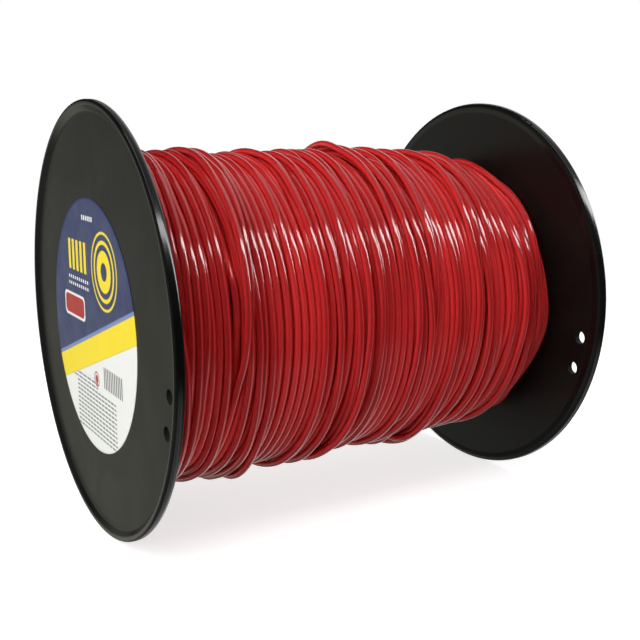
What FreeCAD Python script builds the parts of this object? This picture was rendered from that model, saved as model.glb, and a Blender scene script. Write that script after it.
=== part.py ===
import FreeCAD
import Part
import math
import os

# A reel of round nylon line for grass trimmers.
# Two identical black mouldings are the flanges. Each has a raised lip round its rim, two tie-off holes for
# the end of the line near the rim, an arbor sleeve in the middle, and a spigot with snap tongues that plugs
# into the barrel. The barrel is a plain tube with a window for each snap lug. The line is wound on it by
# hundreds of turns, so the inner layers are one plain sleeve, and the last turns lie over it as one unbroken
# tube. A round sticker covers the middle of one flange, arbor hole included.
# Frame: X runs along the reel's axis from the sticker side to the plain side, Z is up, and the reel stands
# on its two rims with the origin on the ground under its middle. Sizes are in millimetres and angles in
# degrees.

# Flange moulding
flange_diameter = 165.0
overall_width = 183.2
plate_thickness = 2.3
rim_lip_height = 1.8
rim_foot_width = 4.3
rim_crest_width = 1.9
rim_foot_round = 2.0
rim_crest_round = 1.2
rim_outer_round = 1.0
rim_inner_round = 2.0

# Tie-off holes, a pair in each flange
tie_hole_diameter = 5.2
tie_hole_to_lip = 2.1
tie_hole_spacing = 13.7
tie_hole_direction = 194.4

# Arbor sleeve, spigot and the webs between them
arbor_diameter = 22.0
arbor_wall = 2.4
arbor_sleeve_length = 16.0
arbor_mouth_round = 0.4
spigot_wall = 2.4
spigot_length = 14.0
spigot_clearance = 0.15
spigot_tip_round = 0.6
web_thickness = 2.0
web_depth = 9.0

# Snap tongues on the spigot, and the windows that they catch in
snap_count = 4
lug_width = 9.0
lug_length = 3.6
lug_land = 1.0
lug_setback = 6.5
lug_below_surface = 0.9
tongue_slot_width = 1.2
tongue_root = 2.0
window_clearance = 0.3

# Barrel tube
barrel_diameter = 68.0
barrel_wall = 2.6
anchor_hole_clearance = 0.25
anchor_hole_offset = 6.0

# Line
line_diameter = 2.7
winding_diameter_sticker_side = 132.0
winding_diameter_plain_side = 125.0
layer_gap = 0.3
line_to_flange_gap = 0.4
outer_turns = 24
least_turn_gap = 1.1
bunches_of_turns = 5
first_turn_direction = 90.0
anchor_tail_length = 6.5

# Sticker, a little off the middle, as it was pressed on by hand
sticker_diameter = 98.0
sticker_thickness = 0.2
sticker_offset_y = 5.0
sticker_offset_z = -2.4

# Sizes that follow from the ones above
flange_radius = flange_diameter / 2
half_width = overall_width / 2
plate_inner_x = rim_lip_height + plate_thickness
barrel_radius = barrel_diameter / 2
barrel_bore_radius = barrel_radius - barrel_wall
barrel_length = overall_width - 2 * plate_inner_x
spigot_radius = barrel_bore_radius - spigot_clearance
spigot_bore_radius = spigot_radius - spigot_wall
arbor_radius = arbor_diameter / 2
sleeve_radius = arbor_radius + arbor_wall
lug_radius = barrel_radius - lug_below_surface
line_radius = line_diameter / 2
cut_margin = 1.0
weld_overlap = 0.2

X_AXIS = FreeCAD.Vector(1, 0, 0)
ORIGIN = FreeCAD.Vector(0, 0, 0)


def around(x, radius, degrees):
    """A point at a place along the reel's axis, a radius, and a direction about it, from +Y towards +Z."""
    turn = math.radians(degrees)
    return FreeCAD.Vector(x, radius * math.cos(turn), radius * math.sin(turn))


def rounded_wire(corners):
    """A closed wire in the XY plane through corners (x, radius, corner round)."""
    count = len(corners)
    points = [FreeCAD.Vector(x, radius, 0) for x, radius, _ in corners]
    starts, ends, arcs = [], [], []
    for i in range(count):
        here = points[i]
        back = (points[i - 1] - here).normalize()
        ahead = (points[(i + 1) % count] - here).normalize()
        corner_round = corners[i][2]
        if corner_round <= 0:
            starts.append(here)
            ends.append(here)
            arcs.append(None)
            continue
        half = back.getAngle(ahead) / 2
        reach = corner_round / math.tan(half)
        starts.append(here + back * reach)
        ends.append(here + ahead * reach)
        middle = (back + ahead).normalize()
        arcs.append(here + middle * (corner_round / math.sin(half) - corner_round))
    edges = []
    for i in range(count):
        if arcs[i] is not None:
            edges.append(Part.Arc(starts[i], arcs[i], ends[i]).toShape())
        edges.append(Part.LineSegment(ends[i], starts[(i + 1) % count]).toShape())
    return Part.Wire(edges)


def turned(corners, first_degrees=0.0, sweep_degrees=360.0):
    """The solid that an outline of (x, radius, corner round) sweeps about the reel's axis."""
    face = Part.Face(rounded_wire(corners))
    face.rotate(ORIGIN, X_AXIS, first_degrees)
    return face.revolve(ORIGIN, X_AXIS, sweep_degrees)


def square_outline(x_low, x_high, radius_low, radius_high):
    """The outline of a rectangle in x and radius, with sharp corners."""
    corners = ((x_low, radius_low), (x_high, radius_low), (x_high, radius_high), (x_low, radius_high))
    return [(x, radius, 0) for x, radius in corners]


def degrees_wide(width, radius):
    """The angle that a width takes up along a circle of a radius."""
    return math.degrees(width / radius)


def sector(outline, middle_degrees, sweep_degrees):
    """The part of a turned solid within an angle centred on a direction."""
    return turned(outline, middle_degrees - sweep_degrees / 2, sweep_degrees)


def snap_directions():
    """The directions of the snap lugs, evenly between the webs."""
    step = 360.0 / snap_count
    return [tie_hole_direction + step * (i + 0.5) for i in range(snap_count)]


def web_directions():
    """The directions of the webs, evenly about the axis from the tie-off holes' direction."""
    return [tie_hole_direction + 360.0 / snap_count * i for i in range(snap_count)]


def tie_hole_places():
    """The centres of a flange's two tie-off holes, as (radius, direction)."""
    radius = flange_radius - rim_foot_width - tie_hole_to_lip - tie_hole_diameter / 2
    half_spread = math.degrees(math.asin(tie_hole_spacing / 2 / radius))
    return [(radius, tie_hole_direction + side * half_spread) for side in (-1, 1)]


def flange_disc():
    """The turned body of a flange: plate, rim lip, spigot ring and arbor sleeve. The lip's crest is at x = 0."""
    spigot_end = plate_inner_x + spigot_length
    sleeve_end = plate_inner_x + arbor_sleeve_length
    return turned([
        (rim_lip_height, arbor_radius, arbor_mouth_round),
        (rim_lip_height, flange_radius - rim_foot_width, rim_foot_round),
        (0, flange_radius - rim_crest_width, rim_crest_round),
        (0, flange_radius, rim_outer_round),
        (plate_inner_x, flange_radius, rim_inner_round),
        (plate_inner_x, spigot_radius, 0),
        (spigot_end, spigot_radius, spigot_tip_round),
        (spigot_end, spigot_bore_radius, spigot_tip_round),
        (plate_inner_x, spigot_bore_radius, 0),
        (plate_inner_x, sleeve_radius, 0),
        (sleeve_end, sleeve_radius, 0),
        (sleeve_end, arbor_radius, arbor_mouth_round),
    ])


def web(direction):
    """A flat web that joins the arbor sleeve to the spigot ring."""
    length = spigot_bore_radius - sleeve_radius + 2 * weld_overlap
    block = Part.makeBox(
        web_depth + weld_overlap, length, web_thickness,
        FreeCAD.Vector(plate_inner_x - weld_overlap, sleeve_radius - weld_overlap, -web_thickness / 2))
    block.rotate(ORIGIN, X_AXIS, direction)
    return block


def tongue_slots(direction):
    """The two slots that free a snap tongue from the spigot ring."""
    outline = square_outline(
        plate_inner_x + tongue_root, plate_inner_x + spigot_length + cut_margin,
        spigot_bore_radius - cut_margin, spigot_radius + cut_margin)
    offset = degrees_wide((lug_width + tongue_slot_width) / 2, spigot_radius)
    sweep = degrees_wide(tongue_slot_width, spigot_radius)
    return [sector(outline, direction + side * offset, sweep) for side in (-1, 1)]


def snap_lug(direction):
    """The lug on a snap tongue: a square catch towards the plate and a ramp towards the tip."""
    catch_x = plate_inner_x + lug_setback
    base = spigot_radius - weld_overlap
    outline = [
        (catch_x, base, 0),
        (catch_x, lug_radius, 0),
        (catch_x + lug_land, lug_radius, 0),
        (catch_x + lug_length, spigot_radius, 0),
        (catch_x + lug_length, base, 0),
    ]
    return sector(outline, direction, degrees_wide(lug_width, lug_radius))


def flange():
    """One flange moulding on the reel's axis, with its lip's crest at x = 0 and its spigot towards +X."""
    body = flange_disc()
    body = body.fuse([web(direction) for direction in web_directions()])
    body = body.cut([slot for direction in snap_directions() for slot in tongue_slots(direction)])
    body = body.fuse([snap_lug(direction) for direction in snap_directions()])
    depth = plate_thickness + 2 * cut_margin
    holes = []
    for radius, direction in tie_hole_places():
        start = around(rim_lip_height - cut_margin, radius, direction)
        holes.append(Part.makeCylinder(tie_hole_diameter / 2, depth, start, X_AXIS))
    return body.cut(holes).removeSplitter()


def sticker_side_flange():
    """The flange that carries the sticker, at the -X end."""
    moulding = flange()
    moulding.translate(FreeCAD.Vector(-half_width, 0, 0))
    return moulding


def plain_side_flange():
    """The same moulding turned about the tie-off holes' direction, so that both pairs of holes line up."""
    moulding = sticker_side_flange()
    moulding.rotate(ORIGIN, around(0, 1, tie_hole_direction), 180)
    return moulding


def anchor_hole_x():
    """Where along the axis the line starts, just past the sticker side's spigot."""
    return -half_width + plate_inner_x + spigot_length + anchor_hole_offset


def barrel():
    """The tube between the flanges, with a window for each snap lug and the hole where the line starts."""
    half_length = barrel_length / 2
    tube = turned(square_outline(-half_length, half_length, barrel_bore_radius, barrel_radius))
    outer_x = half_length - lug_setback + window_clearance
    inner_x = half_length - lug_setback - lug_length - window_clearance
    sweep = degrees_wide(lug_width + 2 * window_clearance, lug_radius)
    cuts = []
    for low, high in ((-outer_x, -inner_x), (inner_x, outer_x)):
        outline = square_outline(low, high, barrel_bore_radius - cut_margin, barrel_radius + cut_margin)
        cuts += [sector(outline, direction, sweep) for direction in snap_directions()]
    start = around(anchor_hole_x(), barrel_bore_radius - cut_margin, first_turn_direction)
    hole_radius = line_radius + anchor_hole_clearance
    hole_length = barrel_wall + 2 * cut_margin
    cuts.append(Part.makeCylinder(hole_radius, hole_length, start, around(0, 1, first_turn_direction)))
    return tube.cut(cuts)


def core_radius(x):
    """The radius of the inner layers at a place along the axis. It falls evenly towards the plain side."""
    share = (x + barrel_length / 2) / barrel_length
    diameter = winding_diameter_sticker_side + share * (
        winding_diameter_plain_side - winding_diameter_sticker_side)
    return diameter / 2 - line_diameter - layer_gap


def line_inner_layers():
    """All the layers under the last turns, as one plain sleeve on the barrel."""
    end = barrel_length / 2 - line_to_flange_gap
    inner = barrel_radius + layer_gap
    corners = ((-end, inner), (end, inner), (end, core_radius(end)), (-end, core_radius(-end)))
    return turned([(x, radius, 0) for x, radius in corners])


def line_first_end():
    """The line's first end, threaded through the barrel's wall so that it can't pull out."""
    start = around(anchor_hole_x(), barrel_bore_radius - anchor_tail_length, first_turn_direction)
    length = anchor_tail_length + barrel_wall + layer_gap
    return Part.makeCylinder(line_radius, length, start, around(0, 1, first_turn_direction))


def outer_turn_point(turn):
    """The centre of the outer turns after a number of turns: an uneven helix over the inner layers."""
    reach = barrel_length / 2 - line_to_flange_gap - line_radius
    mean_pitch = 2 * reach / outer_turns
    unevenness = 1 - (line_diameter + least_turn_gap) / mean_pitch
    share = turn / outer_turns
    wave = 2 * math.pi * bunches_of_turns
    x = -reach + 2 * reach * (share + unevenness * math.sin(wave * share) / wave)
    return around(x, core_radius(x) + layer_gap + line_radius, first_turn_direction + 360 * turn)


def outer_turn_heading(turn):
    """The direction in which the outer turns run after a number of turns."""
    step = 1e-4
    return (outer_turn_point(turn + step) - outer_turn_point(turn - step)).normalize()


def biarc(start, start_heading, end, end_heading):
    """Two arcs that join two points with the given headings, smoothly where they meet."""
    chord = end - start
    both = start_heading + end_heading
    bend = 2 * (1 - start_heading.dot(end_heading))
    along = chord.dot(both)
    reach = (math.sqrt(along ** 2 + bend * chord.dot(chord)) - along) / bend
    first_corner = start + start_heading * reach
    second_corner = end - end_heading * reach
    join = (first_corner + second_corner) / 2
    arcs = []
    for a, corner, b in ((start, first_corner, join), (join, second_corner, end)):
        half_turn = (corner - a).getAngle(b - corner) / 2
        weight = math.cos(half_turn)
        middle = (a + b + corner * (2 * weight)) / (2 + 2 * weight)
        arcs.append(Part.Arc(a, middle, b))
    return arcs


def least_gap(turns, points_per_turn=48):
    """The least space between the tube and itself, measured on points of its centre line."""
    points = [outer_turn_point(i / points_per_turn) for i in range(int(turns * points_per_turn) + 1)]
    least = None
    for i, here in enumerate(points):
        for j in range(i + points_per_turn // 2, min(i + 2 * points_per_turn, len(points))):
            gap = here.distanceToPoint(points[j]) - line_diameter
            least = gap if least is None else min(least, gap)
    return least


def line_outer_turns():
    """The last turns of the line as one tube, with a straight stretch of one diameter at each end."""
    quarters = 4 * outer_turns
    arcs = []
    for i in range(quarters):
        a, b = i / 4, (i + 1) / 4
        arcs += biarc(outer_turn_point(a), outer_turn_heading(a), outer_turn_point(b), outer_turn_heading(b))
    first, last = outer_turn_point(0), outer_turn_point(outer_turns)
    first_heading, last_heading = outer_turn_heading(0), outer_turn_heading(outer_turns)
    start = first - first_heading * line_diameter
    lead = Part.LineSegment(start, first)
    tail = Part.LineSegment(last, last + last_heading * line_diameter)
    turns = [arc.toShape() for arc in arcs]
    path = Part.Wire([lead.toShape()] + turns + [tail.toShape()])
    section = Part.Wire(Part.Circle(start, first_heading, line_radius).toShape())
    tube = path.makePipeShell([section], True, False)
    expected = math.pi * line_radius ** 2 * path.Length
    tightest = min(turn.Curve.Radius for turn in turns)
    print("outer turns: length %.0f mm, volume %.0f of %.0f mm3" % (path.Length, tube.Volume, expected))
    print("outer turns: least gap to itself %.2f mm, tightest radius %.1f mm" % (least_gap(outer_turns), tightest))
    return tube


def sticker():
    """The round sticker on the sticker side's face."""
    back_x = -half_width + rim_lip_height
    centre = FreeCAD.Vector(back_x - sticker_thickness, sticker_offset_y, sticker_offset_z)
    return Part.makeCylinder(sticker_diameter / 2, sticker_thickness, centre, X_AXIS)


def main():
    """Builds each piece on the reel's axis, lifts it so that the rims stand on the ground, and writes it."""
    os.makedirs("parts", exist_ok=True)
    pieces = {
        "sticker_side_flange": sticker_side_flange(),
        "plain_side_flange": plain_side_flange(),
        "barrel": barrel(),
        "line_first_end": line_first_end(),
        "line_inner_layers": line_inner_layers(),
        "line_outer_turns": line_outer_turns(),
        "sticker": sticker(),
    }
    for name, shape in pieces.items():
        shape.translate(FreeCAD.Vector(0, 0, flange_radius))
        print(name, "valid", shape.isValid(), "solids", len(shape.Solids), "volume %.1f" % shape.Volume)
        shape.exportStep("parts/%s.step" % name)


main()
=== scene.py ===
import logging
import math
from collections.abc import Iterator
from dataclasses import dataclass
from enum import Enum
from typing import Optional, Union

import bpy
import numpy as np
from bpy.types import ID, Material, Mesh, Node, NodeSocket as Socket, NodeTree, Object
from mathutils import Matrix, Vector


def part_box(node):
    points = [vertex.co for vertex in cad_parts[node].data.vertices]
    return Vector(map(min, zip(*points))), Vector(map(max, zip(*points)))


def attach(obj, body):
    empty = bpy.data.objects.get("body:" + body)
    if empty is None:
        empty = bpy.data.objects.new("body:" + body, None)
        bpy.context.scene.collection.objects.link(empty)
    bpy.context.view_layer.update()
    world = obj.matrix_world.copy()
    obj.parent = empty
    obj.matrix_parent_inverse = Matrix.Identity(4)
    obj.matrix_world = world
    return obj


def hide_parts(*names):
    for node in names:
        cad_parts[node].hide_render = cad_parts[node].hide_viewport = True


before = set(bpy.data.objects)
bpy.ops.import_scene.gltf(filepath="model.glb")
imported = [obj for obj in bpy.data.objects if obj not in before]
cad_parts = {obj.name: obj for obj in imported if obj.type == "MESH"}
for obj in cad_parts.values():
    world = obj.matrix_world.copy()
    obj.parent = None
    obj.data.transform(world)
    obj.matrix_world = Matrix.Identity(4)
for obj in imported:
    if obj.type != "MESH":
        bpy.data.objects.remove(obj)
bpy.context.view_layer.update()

# The looks of a reel of red nylon line for grass trimmers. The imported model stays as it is, apart from the
# solids of the wound line and the sticker: strands wound one by one and a printed label stand for them.
# Everything is in metres, with X along the reel's axis from the sticker side to the plain side.

logging.basicConfig(level=logging.INFO, format="%(name)s: %(message)s")
log = logging.getLogger("trimmer_line_reel")

MM = 0.001
AXIS_HEIGHT = sum(corner.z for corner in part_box("barrel")) / 2
NOISE_RANGE = (0.3, 0.7)
ROUGHNESS_SWING = (-0.02, 0.03)
NO_RIM = 1.0

Array = np.ndarray
Pair = tuple[float, float]
Triple = tuple[float, float, float]
Colour = tuple[float, float, float, float]
Value = Union[float, tuple, Socket]


class Slot(Enum):
    """The record's material slots for the line and the sticker. Nothing in this script reads them."""

    LINE = "nylon_line"
    STICKER = "sticker_film"


class Nodes:
    """Adds nodes to a tree and links them, so that a material reads as a list of steps."""

    def __init__(self, tree: NodeTree) -> None:
        """Takes the shader or geometry tree to fill."""
        self.tree = tree

    def feed(self, node: Node, inputs: dict) -> Node:
        """Sets or links the inputs of a node.

        Args:
            node: The node.
            inputs: Values or output sockets, by the name or number of the input that they go to.

        Returns:
            The same node.
        """
        for name, value in inputs.items():
            if isinstance(value, Socket):
                self.tree.links.new(value, node.inputs[name])
            else:
                node.inputs[name].default_value = value
        return node

    def add(self, kind: str, inputs: Optional[dict] = None, **settings) -> Node:
        """Adds a node.

        Args:
            kind: The node's type name.
            inputs: Its inputs, as feed takes them.
            settings: The node's own properties.

        Returns:
            The new node.
        """
        node = self.tree.nodes.new(kind)
        for name, value in settings.items():
            setattr(node, name, value)
        return self.feed(node, inputs or {})

    def math(self, operation: str, *values: Value, clamp: bool = False) -> Socket:
        """The result of a Math node."""
        numbered = dict(enumerate(values))
        return self.add("ShaderNodeMath", numbered, operation=operation, use_clamp=clamp).outputs[0]

    def plus(self, a: Value, b: Value, clamp: bool = False) -> Socket:
        """The sum of two values, kept within 0 and 1 if asked."""
        return self.math("ADD", a, b, clamp=clamp)

    def minus(self, a: Value, b: Value) -> Socket:
        """The first value less the second."""
        return self.math("SUBTRACT", a, b)

    def times(self, a: Value, b: Value) -> Socket:
        """The product of two values."""
        return self.math("MULTIPLY", a, b)

    def larger(self, a: Value, b: Value) -> Socket:
        """The larger of two values."""
        return self.math("MAXIMUM", a, b)

    def vector_math(self, operation: str, *values: Value) -> Socket:
        """The result of a Vector Math node, which is a number for a length or a dot product."""
        node = self.add("ShaderNodeVectorMath", dict(enumerate(values)), operation=operation)
        return node.outputs["Value" if operation in ("LENGTH", "DOT_PRODUCT") else "Vector"]

    def split(self, vector: Socket) -> tuple[Socket, ...]:
        """The X, Y and Z of a vector."""
        return tuple(self.add("ShaderNodeSeparateXYZ", {"Vector": vector}).outputs)

    def join(self, x: Value = 0.0, y: Value = 0.0, z: Value = 0.0) -> Socket:
        """The vector of three values."""
        return self.add("ShaderNodeCombineXYZ", {"X": x, "Y": y, "Z": z}).outputs[0]

    def remap(self, value: Value, low: float, high: float, to_low: float = 0.0,
              to_high: float = 1.0) -> Socket:
        """A value's range mapped onto another, smoothly and within its ends."""
        inputs = {"Value": value, "From Min": low, "From Max": high, "To Min": to_low, "To Max": to_high}
        return self.add("ShaderNodeMapRange", inputs, interpolation_type="SMOOTHSTEP").outputs["Result"]

    def noise(self, vector: Value, scale: Value, detail: float = 2.0, roughness: float = 0.5,
              distortion: float = 0.0) -> Socket:
        """The factor of a Noise Texture."""
        return self.add("ShaderNodeTexNoise", {
            "Vector": vector, "Scale": scale, "Detail": detail, "Roughness": roughness,
            "Distortion": distortion}).outputs[0]

    def swing(self, noise: Socket, middle: float) -> Socket:
        """A roughness that wanders a little about its middle, as a noise does."""
        low, high = ROUGHNESS_SWING
        return self.remap(noise, *NOISE_RANGE, middle + low, middle + high)

    def mix(self, factor: Value, a: Value, b: Value) -> Socket:
        """The mix of two colours."""
        return self.add("ShaderNodeMix", {0: factor, 6: a, 7: b}, data_type="RGBA").outputs[2]

    def bump(self, height: Socket, distance: float, strength: float = 1.0) -> Socket:
        """The normal of a surface with a fine relief, as deep as the distance."""
        inputs = {"Height": height, "Distance": distance, "Strength": strength}
        return self.add("ShaderNodeBump", inputs).outputs[0]

    def attribute(self, name: str, output: str) -> Socket:
        """A value that the mesh carries."""
        return self.add("ShaderNodeAttribute", attribute_name=name).outputs[output]

    def group(self, tree: NodeTree, inputs: dict) -> dict[str, Socket]:
        """Places a node group with its inputs, and gives its outputs by name."""
        return dict(self.add("ShaderNodeGroup", inputs, node_tree=tree).outputs.items())


def linear(value: float) -> float:
    """The linear share of a display value from 0 to 255."""
    share = value / 255
    return share / 12.92 if share <= 0.04045 else ((share + 0.055) / 1.055) ** 2.4


def colour(red: float, green: float, blue: float) -> Colour:
    """The linear colour of a display colour given in 0 to 255."""
    return (linear(red), linear(green), linear(blue), 1.0)


def new_group(name: str, inputs: dict[str, Optional[float]], outputs: dict[str, str]) -> tuple:
    """Makes an empty shader node group.

    Args:
        name: The group's name.
        inputs: The default of each number by its input's name, or None for a vector.
        outputs: Float or Vector, by the output's name.

    Returns:
        The builder of its tree, its inputs by name, and the node that takes its outputs.
    """
    tree = bpy.data.node_groups.new(name, "ShaderNodeTree")
    for socket, default in inputs.items():
        kind = "NodeSocketVector" if default is None else "NodeSocketFloat"
        made = tree.interface.new_socket(name=socket, in_out="INPUT", socket_type=kind)
        if default is not None:
            made.default_value = default
    for socket, kind in outputs.items():
        tree.interface.new_socket(name=socket, in_out="OUTPUT", socket_type="NodeSocket" + kind)
    nodes = Nodes(tree)
    return nodes, nodes.add("NodeGroupInput").outputs, nodes.add("NodeGroupOutput")


def moulded_grain_group() -> NodeTree:
    """The fine bite of a moulding's surface and the broad, faint unevenness under it.

    Returns:
        The group.
    """
    nodes, given, result = new_group(
        "moulded_grain", {"Vector": None, "Grain Scale": 2200.0, "Flow Scale": 45.0},
        {"Height": "Float", "Flow": "Float"})
    fine = nodes.noise(given["Vector"], given["Grain Scale"], detail=3.0)
    flow = nodes.noise(given["Vector"], given["Flow Scale"], detail=4.0, roughness=0.55, distortion=0.4)
    nodes.feed(result, {"Height": fine, "Flow": flow})
    return nodes.tree


def scuff_group() -> NodeTree:
    """Short thin rub marks and specks of dust, as masks from 0 to 1.

    Returns:
        The group.
    """
    nodes, given, result = new_group(
        "scuffs_and_dust",
        {"Vector": None, "Scuff Scale": 60.0, "Scuff Amount": 0.5, "Dust Scale": 700.0, "Dust Amount": 0.3},
        {"Scuffs": "Float", "Dust": "Float"})
    warp, stretch = (0.01, 0.01, 0.01), (1.0, 9.0, 1.6)
    dusty_share = 0.14
    place = given["Vector"]
    warped = nodes.vector_math("MULTIPLY_ADD", nodes.noise(place, scale=30.0), warp, place)
    stretched = nodes.vector_math("MULTIPLY", warped, stretch)
    lines = nodes.noise(stretched, given["Scuff Scale"], detail=5.0, roughness=0.7)
    patches = nodes.remap(nodes.noise(place, scale=28.0), low=0.48, high=0.68)
    thin = nodes.remap(lines, low=0.6, high=0.7)
    scuffs = nodes.times(nodes.times(thin, patches), given["Scuff Amount"])
    grains = nodes.add("ShaderNodeTexVoronoi", {"Vector": place, "Scale": given["Dust Scale"]}).outputs
    speck = nodes.remap(grains["Distance"], low=0.16, high=0.06)
    chance = nodes.add("ShaderNodeSeparateColor", {"Color": grains["Color"]}).outputs[0]
    chosen = nodes.math("GREATER_THAN", chance, 1 - dusty_share)
    dust = nodes.times(nodes.times(speck, chosen), given["Dust Amount"])
    nodes.feed(result, {"Scuffs": scuffs, "Dust": dust})
    return nodes.tree


def from_axis_group() -> NodeTree:
    """A point's distance from the reel's axis, the way out from it, and the point about the axis.

    Returns:
        The group.
    """
    nodes, given, result = new_group(
        "from_axis", {"Vector": None, "Axis Height": 0.0},
        {"Radius": "Float", "Centred": "Vector", "Outward": "Vector"})
    x, y, z = nodes.split(given["Vector"])
    height = nodes.minus(z, given["Axis Height"])
    across = nodes.join(0.0, y, height)
    nodes.feed(result, {"Radius": nodes.vector_math("LENGTH", across), "Centred": nodes.join(x, y, height),
                        "Outward": nodes.vector_math("NORMALIZE", across)})
    return nodes.tree


@dataclass(frozen=True)
class SharedEffects:
    """The node groups that more than one finish uses."""

    grain: NodeTree
    scuffs: NodeTree
    from_axis: NodeTree


def new_material(name: str) -> tuple[Material, Nodes, Node]:
    """Makes a material.

    Args:
        name: The material's name.

    Returns:
        The material, the builder of its tree, and its Principled BSDF.
    """
    material = bpy.data.materials.new(name)
    material.use_nodes = True
    material.node_tree.nodes.clear()
    nodes = Nodes(material.node_tree)
    shader = nodes.add("ShaderNodeBsdfPrincipled")
    nodes.add("ShaderNodeOutputMaterial", {"Surface": shader.outputs[0]})
    return material, nodes, shader


@dataclass(frozen=True)
class MouldedPlastic:
    """Black injection-moulded plastic: a satin bite on the flats, a smooth, glossy rim and matt walls."""

    name: str
    base: Colour
    worn: Colour
    flat_roughness: float
    rim_roughness: float
    wall_roughness: float
    specular_level: float
    rim_start: float
    grain_depth: float
    effects: SharedEffects
    rim_blend: float = 0.3 * MM
    wall_lean: Pair = (0.5, 0.3)
    worn_flow: Pair = (0.35, 0.7)
    worn_share: float = 0.35
    scuff_paling: float = 0.5
    scuff_roughening: float = 0.16
    dust: Colour = colour(120, 116, 108)
    dust_share: float = 0.5
    refraction: float = 1.5

    def build(self) -> Material:
        """Makes the material, whose rim lies beyond its start and whose walls are faces along the axis.

        Returns:
            The material.
        """
        material, nodes, shader = new_material(self.name)
        coordinates = nodes.add("ShaderNodeTexCoord").outputs
        about = nodes.group(self.effects.from_axis, {
            "Vector": coordinates["Object"], "Axis Height": AXIS_HEIGHT})
        rim = nodes.remap(about["Radius"], self.rim_start - self.rim_blend, self.rim_start + self.rim_blend)
        inside = nodes.minus(1.0, rim)
        lean = nodes.math("ABSOLUTE", nodes.split(coordinates["Normal"])[0])
        wall = nodes.times(nodes.remap(lean, *self.wall_lean), inside)
        grain = nodes.group(self.effects.grain, {"Vector": about["Centred"]})
        marks = nodes.group(self.effects.scuffs, {"Vector": about["Centred"]})
        flat = nodes.times(nodes.swing(grain["Flow"], self.flat_roughness), inside)
        smooth = nodes.times(nodes.swing(grain["Flow"], self.rim_roughness), rim)
        roughness = nodes.larger(nodes.plus(flat, smooth), nodes.times(wall, self.wall_roughness))
        rubbed = nodes.plus(roughness, nodes.times(marks["Scuffs"], self.scuff_roughening), clamp=True)
        flow = nodes.remap(grain["Flow"], *self.worn_flow, to_high=self.worn_share)
        tone = nodes.mix(flow, self.base, self.worn)
        marked = nodes.mix(nodes.times(marks["Scuffs"], self.scuff_paling), tone, self.worn)
        dusty = nodes.mix(nodes.times(marks["Dust"], self.dust_share), marked, self.dust)
        nodes.feed(shader, {
            "Base Color": dusty, "Roughness": rubbed,
            "Normal": nodes.bump(nodes.times(grain["Height"], inside), self.grain_depth),
            "IOR": self.refraction, "Specular IOR Level": self.specular_level})
        return material


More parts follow.
